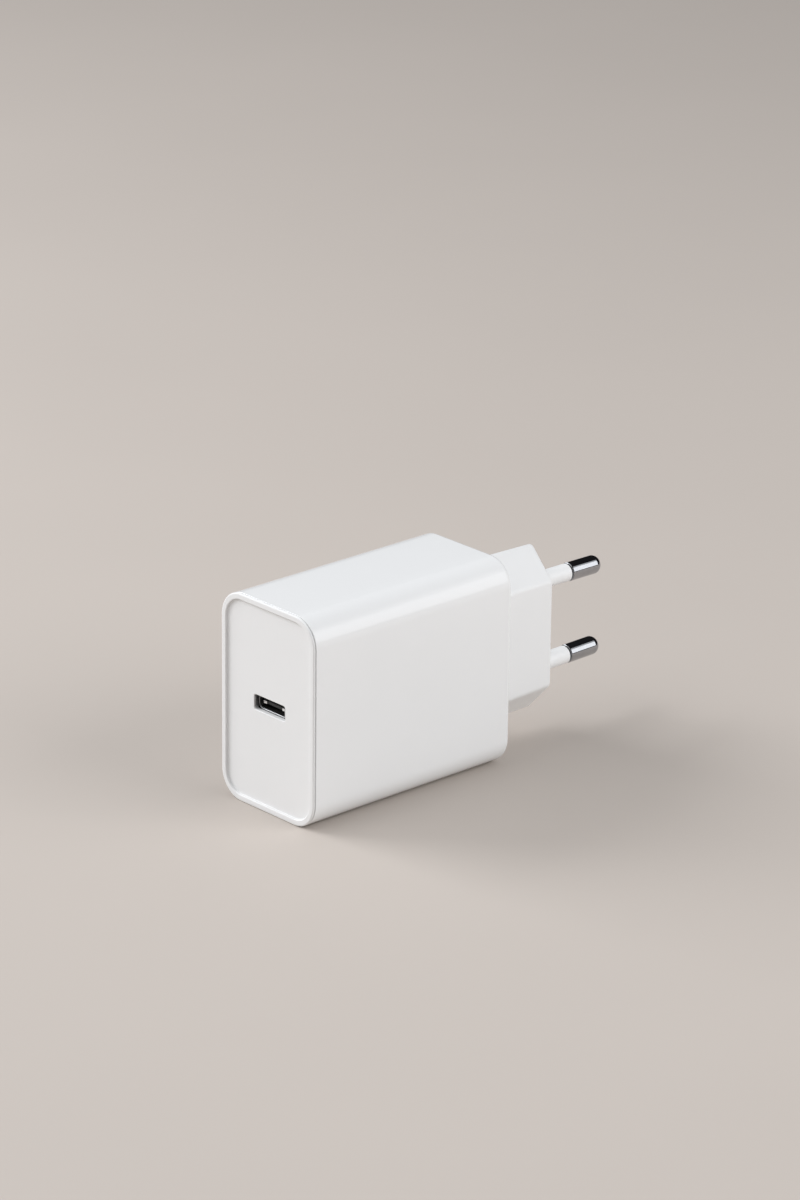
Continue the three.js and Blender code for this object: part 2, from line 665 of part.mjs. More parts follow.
// The board's frame: X is depth behind the rim, Y is height, Z is out from the board's face.
function addElectronics(charger) {
  const board = addGroup(charger, BOARD_X, 0, 0);
  board.rotation.y = QUARTER_TURN;
  const outline = roundedRectangle(BOARD.back - BOARD.front, BOARD.height, BOARD.corner);
  const panel = addMesh(board, "main_board", extruded(outline, BOARD.thickness), BOARD_GREEN);
  panel.position.set((BOARD.front + BOARD.back) / 2, BODY_HEIGHT / 2, -BOARD.thickness);

  addTransformer(board);
  addChoke(board);
  addCapacitors(board, "bulk_capacitor", BULK_CAPACITOR, BULK_HEIGHTS, CAN_SLEEVE);
  addCapacitors(board, "output_capacitor", OUTPUT_CAPACITOR, OUTPUT_HEIGHTS, CAN_METAL);
  addOnBoard(board, "film_capacitor", upright(FILM_CAPACITOR), YELLOW, FILM_CAPACITOR);
  addOnBoard(board, "line_fuse", upright(LINE_FUSE), BROWN, LINE_FUSE);
  addOnBoard(board, "safety_capacitor", upright(SAFETY_CAPACITOR), BLUE, SAFETY_CAPACITOR);
  addOnBoard(board, "surge_disc", upright(SURGE_DISC), PALE_GREEN, SURGE_DISC);
  addOnBoard(board, "optocoupler", chip(OPTOCOUPLER), PALE_PACKAGE, OPTOCOUPLER);
  addOnBoard(board, "bridge_rectifier", chip(BRIDGE), BLACK, BRIDGE);
  addOnBack(board, "switch_controller", SWITCH_CONTROLLER, BLACK);
  addOnBack(board, "sync_rectifier", SYNC_RECTIFIER, BLACK);
  addOnBack(board, "protocol_chip", PROTOCOL_CHIP, BLACK);

  addPlate(board, "thermal_pad", THERMAL_PAD, RUBBER);
  addPlate(board, "heat_spreader", HEAT_SPREADER, ALUMINIUM);
  addPlate(board, "insulating_sheet", INSULATING_SHEET, FILM);
}

// The charger is drawn face-on: X across, Y up from the table, Z out of the port face.
const charger = new THREE.Group();
charger.name = "usb_wall_charger";
charger.rotation.x = QUARTER_TURN;
charger.position.y = FRONT_Y;

addShells(charger);
addPlug(charger);
addPort(charger);
addElectronics(charger);

export default charger;
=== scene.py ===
"""Looks of a white USB wall charger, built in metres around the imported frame."""

import math

import bmesh
import bpy
from mathutils import Matrix, Vector


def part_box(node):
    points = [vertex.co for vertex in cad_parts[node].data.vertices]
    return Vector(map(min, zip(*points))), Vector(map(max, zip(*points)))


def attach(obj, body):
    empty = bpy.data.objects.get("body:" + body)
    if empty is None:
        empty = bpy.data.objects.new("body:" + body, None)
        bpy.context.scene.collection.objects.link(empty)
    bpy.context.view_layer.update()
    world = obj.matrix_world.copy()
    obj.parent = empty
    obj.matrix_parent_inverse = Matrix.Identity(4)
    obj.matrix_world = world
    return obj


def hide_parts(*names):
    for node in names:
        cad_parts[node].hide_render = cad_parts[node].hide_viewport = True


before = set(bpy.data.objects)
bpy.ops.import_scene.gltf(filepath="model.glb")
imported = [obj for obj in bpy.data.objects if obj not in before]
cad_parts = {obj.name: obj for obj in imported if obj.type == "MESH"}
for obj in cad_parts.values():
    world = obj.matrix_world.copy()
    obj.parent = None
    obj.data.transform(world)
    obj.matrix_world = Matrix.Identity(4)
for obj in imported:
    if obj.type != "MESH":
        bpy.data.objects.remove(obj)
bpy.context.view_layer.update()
MM = 0.001

# Places read from the frame, in metres.
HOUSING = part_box("main_housing")
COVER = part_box("front_cover")
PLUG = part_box("plug_body")
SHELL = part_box("port_shell")
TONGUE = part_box("port_tongue")
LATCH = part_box("port_latch_frame")

FRONT_Y = COVER[0].y
BODY_END = HOUSING[1].y
PLUG_END = PLUG[1].y
MIDDLE_X = (HOUSING[0].x + HOUSING[1].x) / 2
MIDDLE_Z = (HOUSING[0].z + HOUSING[1].z) / 2
BODY_WIDTH = HOUSING[1].x - HOUSING[0].x
BODY_HEIGHT = HOUSING[1].z - HOUSING[0].z
PLUG_Z = (PLUG[0].z + PLUG[1].z) / 2
PORT_Z = (SHELL[0].z + SHELL[1].z) / 2

# Body and cover. Depths are measured back from the front of the rim.
BODY_CORNER = 5.8 * MM
WALL = 1.8 * MM
REAR_WALL = 2.0 * MM
PANEL_BACK = 1.65 * MM
SKIRT_INSET = 1.85 * MM
SKIRT_WALL = 1.1 * MM
SLOT_WIDTH = 9.3 * MM
SLOT_HEIGHT = 3.2 * MM
SLOT_CORNER = 0.5 * MM

# Plug block, pins and sleeves.
PLUG_HALF_WIDTH = 6.5 * MM
PLUG_SHOULDER = 11.5 * MM
PLUG_POINT = 18.36 * MM
PLUG_POINT_ROUND = 1.0 * MM
PLUG_SHOULDER_ROUND = 1.6 * MM
PLUG_EDGE = 0.7 * MM
PLUG_FACE = 3.5 * MM
PLUG_BASE_WIDER = 0.47 * MM
PLUG_BASE_HIGHER = 0.5 * MM
SPIGOT_INSET = 1.2 * MM
SPIGOT_HOLLOW = 2.9 * MM
SPIGOT_HOLE = 1.15 * MM
PIN_ROOT_OFFSET = 9.25 * MM
PIN_TIP_OFFSET = 9.0 * MM
PIN_RADIUS = 1.995 * MM
PIN_STUB = 7.0 * MM
SHANK_RADIUS = 1.39 * MM
SHOULDER_GAP = 0.36 * MM
SLEEVE_LENGTH = 10.0 * MM
SLEEVE_RADIUS = 1.895 * MM
SLEEVE_BORE = 1.45 * MM

# Port.
SHELL_WIDTH = 8.94 * MM
SHELL_HEIGHT = 3.16 * MM
SHELL_WALL = 0.3 * MM
SHELL_CORNER = 1.3 * MM
LIP_INNER = 4.3 * MM
LIP_BACK = 2.0 * MM
LIP_HALF = 1.2 * MM
TONGUE_HALF = 0.35 * MM
TONGUE_EDGE = 3.1 * MM
TONGUE_STEP = 6.6 * MM
TONGUE_BASE = 8.4 * MM
RAIL_WIDTH = 0.28 * MM
HOOK_WIDTH = 1.08 * MM
HOOK_DEPTH = 0.23 * MM

# Meshes: point counts, the width of the narrow bands beside a rounded edge, and limits.
CORNER_STEPS = 14
SIDE_STEPS = 6
EDGE_STEPS = 6
FINE_STEPS = 4
TIP_STEPS = 14
LATHE_STEPS = 56
SUPPORT = 0.04 * MM
SMALLEST_ROUND = 0.4 * MM
SMOOTH_ANGLE = 40
MERGE_DISTANCE = 1e-7

# Studio. A soft light has a name, a direction, a power in watts, and whether reflections show it.
FLOOR_REACH = 12.0
FLOOR = (0.515, 0.462, 0.418)
WORLD_COLOUR = (0.98, 1.0, 1.026)
WORLD_STRENGTH = 0.47
MIRROR_COLOUR = (0.02, 0.02, 0.022)
LIGHT_COLOUR = (0.985, 1.0, 1.025)
LIGHT_DISTANCE = 1.0
LIGHT_SIZE = (0.6, 0.6)
SOFT_LIGHTS = (
    ("left_light", (-0.75, -0.4, 0.5), 7.7, True),
    ("front_light", (-0.2, -0.75, 0.65), 2.3, True),
    ("rear_light", (0.8, 0.3, 0.5), 4.7, False),
)
EDGE_CONE = 0.632
EDGE_START = 4
EDGE_STEP = 8
EDGE_SHARES = (1, 1, 1, 1, 0.35)
EDGE_DISTANCE = 0.8
EDGE_WIDTH = 0.28
EDGE_RADIANCE = 2.0

# Camera, from the fit to the outlines.
CAMERA_RIGHT = Vector((0.673684, 0.738948, 0.010221))
CAMERA_UP = Vector((-0.269870, 0.233112, 0.934253))
CAMERA_PLACE = Vector((0.698394, -0.651886, 0.398480))
CAMERA_LENS = 151.55
SENSOR_HEIGHT = 36.0


# ---------------------------------------------------------------- outlines


def arc(centre_x, centre_z, radius, start, end, steps):
    """Points of an arc in X and Z, both ends included."""
    return [
        (
            centre_x + radius * math.cos(start + (end - start) * i / steps),
            centre_z + radius * math.sin(start + (end - start) * i / steps),
        )
        for i in range(steps + 1)
    ]


def quarter(steps):
    """Sine and cosine of each angle from 0 to 90 degrees."""
    angles = [math.radians(90 * i / steps) for i in range(steps + 1)]
    return [(math.sin(angle), math.cos(angle)) for angle in angles]


def rounded_polygon(corners, arc_steps, side_steps):
    """Counter-clockwise outline through (x, z, radius) corners, of the same point count for any sizes."""
    rounds = []
    count = len(corners)
    for i, (x, z, radius) in enumerate(corners):
        here = Vector((x, z))
        back = (Vector(corners[i - 1][:2]) - here).normalized()
        ahead = (Vector(corners[(i + 1) % count][:2]) - here).normalized()
        half = math.acos(max(-1, min(1, back.dot(ahead)))) / 2
        centre = here + (back + ahead).normalized() * radius / math.sin(half)
        reach = radius / math.tan(half)
        first = here + back * reach - centre
        last = here + ahead * reach - centre
        start = math.atan2(first.y, first.x)
        end = math.atan2(last.y, last.x)
        if end < start:
            end += 2 * math.pi
        rounds.append(arc(centre.x, centre.y, radius, start, end, arc_steps))
    points = []
    for i, piece in enumerate(rounds):
        points += piece
        following = rounds[(i + 1) % count][0]
        for k in range(1, side_steps):
            share = k / side_steps
            points.append(
                (
                    piece[-1][0] + (following[0] - piece[-1][0]) * share,
                    piece[-1][1] + (following[1] - piece[-1][1]) * share,
                )
            )
    return points


def rounded_rectangle(width, height, radius, arc_steps=CORNER_STEPS, side_steps=SIDE_STEPS):
    """Outline of a rectangle about the origin with rounded corners."""
    w, h = width / 2, height / 2
    corners = [(w, -h, radius), (w, h, radius), (-w, h, radius), (-w, -h, radius)]
    return rounded_polygon(corners, arc_steps, side_steps)


def body_ring(inset, y):
    """Ring of the body's outline, shrunk on every side by inset, at depth y behind the front."""
    radius = max(BODY_CORNER - inset, SMALLEST_ROUND)
    outline = rounded_rectangle(BODY_WIDTH - 2 * inset, BODY_HEIGHT - 2 * inset, radius)
    return [Vector((MIDDLE_X + x, FRONT_Y + y, MIDDLE_Z + z)) for x, z in outline]


def ring_at(outline, y, z):
    """Ring of any outline at an absolute Y, about the height z."""
    return [Vector((px, y, z + pz)) for px, pz in outline]


def edge_round(inset, y, radius, start, end, steps=EDGE_STEPS):
    """Profile points (inset, y) of a rounded edge about a centre, angles in degrees."""
    points = []
    for i in range(steps + 1):
        angle = math.radians(start + (end - start) * i / steps)
        points.append((inset - radius * math.cos(angle), y + radius * math.sin(angle)))
    return points


# ---------------------------------------------------------------- meshes


def finish_piece(name, bm, node, material, body="root"):
    """Turns a bmesh into a piece that stands for a CAD node and rides on a body."""
    bmesh.ops.remove_doubles(bm, verts=bm.verts, dist=MERGE_DISTANCE)
    bmesh.ops.recalc_face_normals(bm, faces=bm.faces)
    mesh = bpy.data.meshes.new(name)
    bm.to_mesh(mesh)
    bm.free()
    mesh.shade_smooth()
    mesh.set_sharp_from_angle(angle=math.radians(SMOOTH_ANGLE))
    piece = bpy.data.objects.new(name, mesh)
    bpy.context.scene.collection.objects.link(piece)
    mesh.materials.append(material)
    if node:
        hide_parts(*node)
    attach(piece, body)
    return piece


def add_rings(bm, rings, closed=False, cap_start=False, cap_end=False):
    """Joins rings of equal length with quads, and caps or closes the ends."""
    rows = [[bm.verts.new(p) for p in ring] for ring in rings]
    count = len(rows[0])
    pairs = list(zip(rows, rows[1:]))
    if closed:
        pairs.append((rows[-1], rows[0]))
    for a, b in pairs:
        for i in range(count):
            j = (i + 1) % count
            bm.faces.new((a[i], a[j], b[j], b[i]))
    if cap_start:
        bm.faces.new(list(reversed(rows[0])))
    if cap_end:
        bm.faces.new(rows[-1])


def add_bevelled_box(bm, low, high, edge, segments=2):
    """Box between two corners with rounded edges."""
    size = Vector(high) - Vector(low)
    middle = (Vector(high) + Vector(low)) / 2
    matrix = Matrix.Translation(middle) @ Matrix.Diagonal((*size, 1))
    made = bmesh.ops.create_cube(bm, size=1, matrix=matrix)
    edges = list({e for v in made["verts"] for e in v.link_edges})
    bmesh.ops.bevel(bm, geom=edges, offset=edge, segments=segments, affect="EDGES", profile=0.5)


def add_lathe(bm, profile, base, direction, steps=LATHE_STEPS):
    """Turns (radius, distance) points about a direction. Zero radii close on the axis."""
    turn = direction.normalized().to_track_quat("Z", "Y").to_matrix()
    rows = []
    for radius, along in profile:
        if radius < 1e-9:
            rows.append([bm.verts.new(base + turn @ Vector((0, 0, along)))])
            continue
        row = []
        for i in range(steps):
            angle = 2 * math.pi * i / steps
            offset = Vector((radius * math.cos(angle), radius * math.sin(angle), along))
            row.append(bm.verts.new(base + turn @ offset))
        rows.append(row)
    for a, b in zip(rows, rows[1:]):
        for i in range(steps):
            j = (i + 1) % steps
            if len(a) == 1 and len(b) > 1:
                bm.faces.new((a[0], b[j], b[i]))
            elif len(b) == 1 and len(a) > 1:
                bm.faces.new((a[i], a[j], b[0]))
            elif len(a) > 1:
                bm.faces.new((a[i], a[j], b[j], b[i]))


# ---------------------------------------------------------------- materials


class Nodes:
    """Short way to build a node tree."""

    def __init__(self, name):
        self.material = bpy.data.materials.new(name)
        self.material.use_nodes = True
        self.tree = self.material.node_tree
        self.shader = self.tree.nodes["Principled BSDF"]

    def add(self, kind, **values):
        node = self.tree.nodes.new(kind)
        for key, value in values.items():
            if key in node.inputs.keys():
                node.inputs[key].default_value = value
            else:
                setattr(node, key, value)
        return node

    def link(self, a, out, b, into):
        self.tree.links.new(a.outputs[out], b.inputs[into])

    def set(self, **values):
        for key, value in values.items():
            self.shader.inputs[key.replace("_", " ")].default_value = value

    def position(self, scale=(1, 1, 1)):
        """Object coordinates in millimetres, stretched by scale."""
        coords = self.add("ShaderNodeTexCoord")
        mapping = self.add("ShaderNodeMapping")
        mapping.inputs["Scale"].default_value = [s / MM for s in scale]
        self.link(coords, "Object", mapping, "Vector")
        return mapping

    def noise(self, where, scale, detail=4, roughness=0.5):
        node = self.add("ShaderNodeTexNoise")
        node.inputs["Scale"].default_value = scale
        node.inputs["Detail"].default_value = detail
        node.inputs["Roughness"].default_value = roughness
        self.link(where, "Vector", node, "Vector")
        return node

    def ramp(self, source, out, stops):
        node = self.add("ShaderNodeValToRGB")
        ramp = node.color_ramp
        while len(ramp.elements) < len(stops):
            ramp.elements.new(0.5)
        for element, (place, colour) in zip(ramp.elements, stops):
            element.position = place
            element.color = (*colour, 1)
        self.link(source, out, node, "Fac")
        return node

    def range(self, source, out, low, high, start=0.3, end=0.7):
        node = self.add("ShaderNodeMapRange")
        node.inputs["From Min"].default_value = start
        node.inputs["From Max"].default_value = end
        node.inputs["To Min"].default_value = low
        node.inputs["To Max"].default_value = high
        self.link(source, out, node, "Value")
        return node

    def bump(self, source, out, strength, distance, before=None):
        node = self.add("ShaderNodeBump")
        node.inputs["Strength"].default_value = strength
        node.inputs["Distance"].default_value = distance
        self.link(source, out, node, "Height")
        if before:
            self.link(before, "Normal", node, "Normal")
        return node


def shade(colour, amount):
    """Colour made lighter or darker by a factor."""
    return tuple(max(0, min(1, c * amount)) for c in colour)


def moulded_plastic(name, colour, roughness, grain=0.012, variation=0.006):
    """Moulded plastic: a fine spark-eroded grain, a slow tint drift and uneven gloss."""
    n = Nodes(name)
    where = n.position()
    drift = n.noise(where, 0.06, 3)
    tint = n.ramp(
        drift,
        "Fac",
        [(0.3, shade(colour, 1 - variation)), (0.7, shade(colour, 1 + variation))],
    )
    n.link(tint, "Color", n.shader, "Base Color")
    patch = n.noise(where, 0.35, 5)
    gloss = n.range(patch, "Fac", roughness - 0.01, roughness + 0.012)
    n.link(gloss, "Result", n.shader, "Roughness")
    fine = n.noise(where, 3.0, 2, 0.5)
    wave = n.noise(where, 0.22, 2)
    flow = n.bump(wave, "Fac", 0.1, 0.006 * MM)
    skin = n.bump(fine, "Fac", 0.2, grain * MM, flow)
    n.link(skin, "Normal", n.shader, "Normal")
    n.set(IOR=1.5)
    return n


def plated_metal(name, colour, roughness, along=(0.25, 14, 0.25), marks=0.006):
    """Plated metal with fine turning or drawing marks and a slight cloudiness."""
    n = Nodes(name)
    cloud_place = n.position()
    cloud = n.noise(cloud_place, 0.8, 4)
    tint = n.ramp(cloud, "Fac", [(0.3, shade(colour, 0.94)), (0.7, shade(colour, 1.03))])
    n.link(tint, "Color", n.shader, "Base Color")
    mark_place = n.position(along)
    lines = n.noise(mark_place, 1.0, 3, 0.6)
    gloss = n.range(lines, "Fac", roughness * 0.75, roughness * 1.35)
    n.link(gloss, "Result", n.shader, "Roughness")
    relief = n.bump(lines, "Fac", 0.2, marks * MM)
    n.link(relief, "Normal", n.shader, "Normal")
    n.set(Metallic=1.0)
    return n


def circuit_board(name, colour):
    """Solder mask with darker copper areas, fine weave and small tinned dots."""
    n = Nodes(name)
    where = n.position()
    cells = n.add("ShaderNodeTexVoronoi", feature="F1", distance="MANHATTAN")
    cells.inputs["Scale"].default_value = 0.32
    n.link(where, "Vector", cells, "Vector")
    areas = n.ramp(
        cells,
        "Distance",
        [(0.0, shade(colour, 1.25)), (0.42, shade(colour, 1.2)), (0.46, shade(colour, 0.7))],
    )
    dots = n.add("ShaderNodeTexVoronoi", feature="F1")
    dots.inputs["Scale"].default_value = 0.7
    n.link(where, "Vector", dots, "Vector")
    mask = n.ramp(dots, "Distance", [(0.0, (1, 1, 1)), (0.13, (1, 1, 1)), (0.15, (0, 0, 0))])
    mix = n.add("ShaderNodeMix", data_type="RGBA")
    n.tree.links.new(mask.outputs["Color"], mix.inputs["Factor"])
    n.tree.links.new(areas.outputs["Color"], mix.inputs["A"])
    mix.inputs["B"].default_value = (0.72, 0.72, 0.7, 1)
    n.tree.links.new(mix.outputs["Result"], n.shader.inputs["Base Color"])
    weave = n.noise(where, 4, 2)
    n.link(n.bump(weave, "Fac", 0.2, 0.02 * MM), "Normal", n.shader, "Normal")
    n.set(Roughness=0.38)
    return n


def wound_wire(name, colour):
    """Enamelled wire in close turns about the Y axis, with painted shade in the grooves between turns and a
    painted highlight on each turn's crown.
    """
    n = Nodes(name)
    where = n.position()
    turns = n.add("ShaderNodeTexWave", wave_type="BANDS", bands_direction="Y")
    turns.inputs["Scale"].default_value = 1.05
    turns.inputs["Distortion"].default_value = 0.35
    n.link(where, "Vector", turns, "Vector")
    # Painted shade in the grooves between turns and a painted highlight on their crowns, following the
    # bands of the relief.
    groove_shade_and_crown_highlight = [(0.0, shade(colour, 0.35)), (0.5, colour), (1.0, shade(colour, 1.35))]
    tint = n.ramp(turns, "Fac", groove_shade_and_crown_highlight)
    n.link(tint, "Color", n.shader, "Base Color")
    n.link(n.bump(turns, "Fac", 0.6, 0.1 * MM), "Normal", n.shader, "Normal")
    n.set(Metallic=0.85, Roughness=0.32)
    return n


def ground_ferrite(name, colour):
    """Matt ground ferrite with fine specks."""
    n = Nodes(name)
    where = n.position()
    speck = n.noise(where, 3.5, 5, 0.7)
    tint = n.ramp(speck, "Fac", [(0.35, shade(colour, 0.7)), (0.7, shade(colour, 1.6))])
    n.link(tint, "Color", n.shader, "Base Color")
    n.link(n.bump(speck, "Fac", 0.4, 0.04 * MM), "Normal", n.shader, "Normal")
    n.set(Roughness=0.62)
    return n


WHITE = (0.80, 0.80, 0.797)
NICKEL = (0.42, 0.425, 0.44)

shell_white = moulded_plastic("shell_white", WHITE, 0.1, grain=0.0015)
cover_white = moulded_plastic("cover_white", shade(WHITE, 0.995), 0.5, grain=0.0015)
plug_white = moulded_plastic("plug_white", WHITE, 0.3, grain=0.003)
sleeve_white = moulded_plastic("sleeve_white", shade(WHITE, 1.03), 0.36, grain=0.004)
pin_nickel = plated_metal("pin_nickel", NICKEL, 0.07, along=(0.2, 5, 0.2), marks=0.0003)
DRAWN_IN = (9, 0.3, 9)
port_steel = plated_metal("port_steel", (0.26, 0.26, 0.265), 0.4, along=DRAWN_IN, marks=0.001)
latch_steel = plated_metal("latch_steel", (0.96, 0.96, 0.96), 0.42, along=DRAWN_IN, marks=0.001)
tongue_black = moulded_plastic("tongue_black", (0.018, 0.018, 0.019), 0.4, grain=0.01, variation=0.2)
contact_gold = plated_metal("contact_gold", (0.86, 0.62, 0.25), 0.2, along=DRAWN_IN)


# ---------------------------------------------------------------- outer pieces


def build_housing():
    """Open sleeve with a softly rounded rear edge and a rear wall around the plug spigot."""
    start = HOUSING[0].y - FRONT_Y
    end = BODY_END - FRONT_Y
    lip = 0.12 * MM
    rear = 1.0 * MM
    profile = edge_round(lip, start + lip, lip, -90, 0, FINE_STEPS)
    profile += [(0, start + lip + SUPPORT), (0, end - rear - SUPPORT)]
    profile += edge_round(rear, end - rear, rear, 0, 90)
    profile += [(rear + SUPPORT, end)]
    rings = [body_ring(inset, y) for inset, y in profile]
    opening = []
    for point in rings[-1]:
        flat = Vector((point.x - MIDDLE_X, point.z - PLUG_Z))
        opening.append(plug_crossing(flat, SPIGOT_HOLE))
    rings.append([Vector((x, BODY_END, z)) for x, z in opening])
    rings.append([Vector((x, BODY_END - REAR_WALL, z)) for x, z in opening])
    rings.append(body_ring(WALL, end - REAR_WALL))
    rings.append(body_ring(WALL, start))
    bm = bmesh.new()
    add_rings(bm, rings, closed=True)
    return finish_piece("housing_skin", bm, ["main_housing"], shell_white.material)


def plug_corners(inset):
    """Corners of the plug outline, a long hexagon, shrunk on every side by inset."""
    slope = math.atan((PLUG_POINT - PLUG_SHOULDER) / PLUG_HALF_WIDTH)
    side = PLUG_HALF_WIDTH - inset
    point = PLUG_POINT - inset / math.cos(slope)
    shoulder = point - side * math.tan(slope)
    tip = max(PLUG_POINT_ROUND - inset, SMALLEST_ROUND)
    return [
        (side, -shoulder, PLUG_SHOULDER_ROUND),
        (side, shoulder, PLUG_SHOULDER_ROUND),
        (0, point, tip),
        (-side, shoulder, PLUG_SHOULDER_ROUND),
        (-side, -shoulder, PLUG_SHOULDER_ROUND),
        (0, -point, tip),
    ]


def plug_crossing(direction, inset):
    """Point of the plug's sharp outline that lies in a direction from its centre."""
    corners = [(x, z) for x, z, _ in plug_corners(inset)]
    unit = direction.normalized()
    for i, first in enumerate(corners):
        second = corners[(i + 1) % len(corners)]
        edge = Vector(second) - Vector(first)
        cross = unit.x * edge.y - unit.y * edge.x
        if abs(cross) < 1e-12:
            continue
        along = (first[0] * edge.y - first[1] * edge.x) / cross
        share = (first[0] * unit.y - first[1] * unit.x) / cross
        if along > 0 and -1e-9 <= share <= 1 + 1e-9:
            return MIDDLE_X + unit.x * along, PLUG_Z + unit.y * along
    raise ValueError("no crossing")


def build_cover():
    """Rounded rim around a sunken panel with the port slot, and the skirt behind it."""
    thick = 0.36 * MM
    edge = 0.34 * MM
    rear_edge = 0.06 * MM
    rim = 1.3 * MM
    depth = 0.6 * MM
    step_inset = 0.5 * MM
    step_end = 0.66 * MM
    skirt_end = 4.6 * MM
    inner_edge = 0.2 * MM
    floor_round = 0.12 * MM
    slot_edge = 0.14 * MM
    profile = [(step_inset, thick), (rear_edge, thick)]
    profile += [(0, edge + SUPPORT / 8)]
    profile += edge_round(edge, edge, edge, 0, -90)
    profile += [(edge + SUPPORT, 0), (rim - inner_edge - SUPPORT, 0)]
    for sine, cosine in quarter(EDGE_STEPS):
        profile.append((rim - inner_edge + inner_edge * sine, inner_edge - inner_edge * cosine))
    for sine, cosine in quarter(FINE_STEPS):
        profile.append((rim + floor_round - floor_round * cosine, depth - floor_round + floor_round * sine))
    profile += [(rim + floor_round + SUPPORT, depth)]
    rings = [body_ring(inset, y) for inset, y in profile]
    slot_points = [(slot_edge + SUPPORT, depth)]
    for sine, cosine in quarter(FINE_STEPS):
        slot_points.append((slot_edge - slot_edge * sine, depth + slot_edge - slot_edge * cosine))
    slot_points += [(0, PANEL_BACK)]
    for grow, y in slot_points:
        outline = rounded_rectangle(SLOT_WIDTH + 2 * grow, SLOT_HEIGHT + 2 * grow, SLOT_CORNER + grow)
        rings.append(ring_at(outline, FRONT_Y + y, PORT_Z))
    rings.append(body_ring(SKIRT_INSET + SKIRT_WALL, PANEL_BACK))
    rings.append(body_ring(SKIRT_INSET + SKIRT_WALL, skirt_end))
    rings.append(body_ring(SKIRT_INSET, skirt_end))
    rings.append(body_ring(SKIRT_INSET, step_end))
    rings.append(body_ring(step_inset, step_end))
    bm = bmesh.new()
    add_rings(bm, rings, closed=True)
    return finish_piece("cover_skin", bm, ["front_cover"], cover_white.material)


def plug_ring(inset, y, widen=1.0, heighten=1.0):
    """Ring of the plug's outline at an absolute Y, stretched about its middle."""
    ring = rounded_polygon(plug_corners(inset), EDGE_STEPS, SIDE_STEPS)
    return [Vector((MIDDLE_X + x * widen, y, PLUG_Z + z * heighten)) for x, z in ring]


def build_plug():
    """Tapered plug block with a rounded end, and the hollow spigot behind it."""
    spigot_start = PLUG[0].y
    base = BODY_END + SUPPORT / 2
    bend = PLUG_END - PLUG_EDGE
    length = bend - BODY_END

    def tapered_ring(inset, y):
        back = max((bend - y) / length, 0)
        widen = 1 + PLUG_BASE_WIDER / PLUG_HALF_WIDTH * back
        heighten = 1 + PLUG_BASE_HIGHER / PLUG_POINT * back
        return plug_ring(inset, y, widen, heighten)

    depths = (base, base + SUPPORT, BODY_END + length / 2, bend - SUPPORT)
    outer = [tapered_ring(0, y) for y in depths]
    for sine, cosine in quarter(EDGE_STEPS)[1:]:
        outer.append(tapered_ring(PLUG_EDGE * (1 - cosine), bend + PLUG_EDGE * sine))
    outer.append(tapered_ring(PLUG_EDGE + SUPPORT, PLUG_END))
    inner = [
        plug_ring(SPIGOT_HOLLOW, PLUG_END - PLUG_FACE),
        plug_ring(SPIGOT_HOLLOW, spigot_start),
        plug_ring(SPIGOT_INSET, spigot_start),
        plug_ring(SPIGOT_INSET, base),
    ]
    bm = bmesh.new()
    add_rings(bm, inner + outer, cap_start=True, cap_end=True)
    return finish_piece("plug_skin", bm, ["plug_body"], plug_white.material)


def lean_of(name, side):
    """Root point and direction of a pin, from its box."""
    low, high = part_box(name)
    short = 0.006 * MM
    root = Vector(((low.x + high.x) / 2, PLUG_END, PLUG_Z + side * PIN_ROOT_OFFSET))
    tip = Vector((root.x, high.y - short, PLUG_Z + side * PIN_TIP_OFFSET))
    return root, (tip - root).normalized(), (tip - root).length


def build_pin(name, side):
    """Nickel pin: a shank under the sleeve, then a full-width tip with a round end."""
    root, direction, length = lean_of(name, side)
    tip_round = 1.7 * MM
    shoulder = 0.16 * MM
    stub_edge = 0.09 * MM
    start = SLEEVE_LENGTH + SHOULDER_GAP
    profile = [(0, -PIN_STUB), (SHANK_RADIUS - stub_edge, -PIN_STUB)]
    profile += [(SHANK_RADIUS, stub_edge - PIN_STUB), (SHANK_RADIUS, start)]
    profile += [(PIN_RADIUS - shoulder - SUPPORT, start)]
    for sine, cosine in quarter(FINE_STEPS):
        profile.append((PIN_RADIUS - shoulder + shoulder * sine, start + shoulder - shoulder * cosine))
    profile += [(PIN_RADIUS, start + shoulder + 2 * SUPPORT), (PIN_RADIUS, length - tip_round - SUPPORT)]
    for sine, cosine in quarter(TIP_STEPS):
        profile.append((PIN_RADIUS - tip_round + tip_round * cosine, length - tip_round + tip_round * sine))
    profile.append((0, length))
    bm = bmesh.new()
    add_lathe(bm, profile, root, direction)
    return finish_piece(name + "_metal", bm, [name], pin_nickel.material)


def build_sleeve(name, pin_name, side):
    """Thin white sleeve with soft ends around the root of a pin."""
    root, direction, _ = lean_of(pin_name, side)
    soft = 0.12 * MM
    foot = 0.03 * MM
    bend = SLEEVE_LENGTH - soft
    profile = [(SLEEVE_BORE, foot), (SLEEVE_RADIUS, foot), (SLEEVE_RADIUS, bend - SUPPORT)]
    for sine, cosine in quarter(FINE_STEPS):
        profile.append((SLEEVE_RADIUS - soft + soft * cosine, bend + soft * sine))
    profile += [(SLEEVE_BORE, SLEEVE_LENGTH), (SLEEVE_BORE, foot)]
    bm = bmesh.new()
    add_lathe(bm, profile, root, direction)
    return finish_piece(name + "_skin", bm, [name], sleeve_white.material)


build_housing()
build_cover()
build_plug()
for pin_name, side in (("live_pin", 1), ("neutral_pin", -1)):
    build_pin(pin_name, side)
    build_sleeve(pin_name + "_sleeve", pin_name, side)


# ---------------------------------------------------------------- port


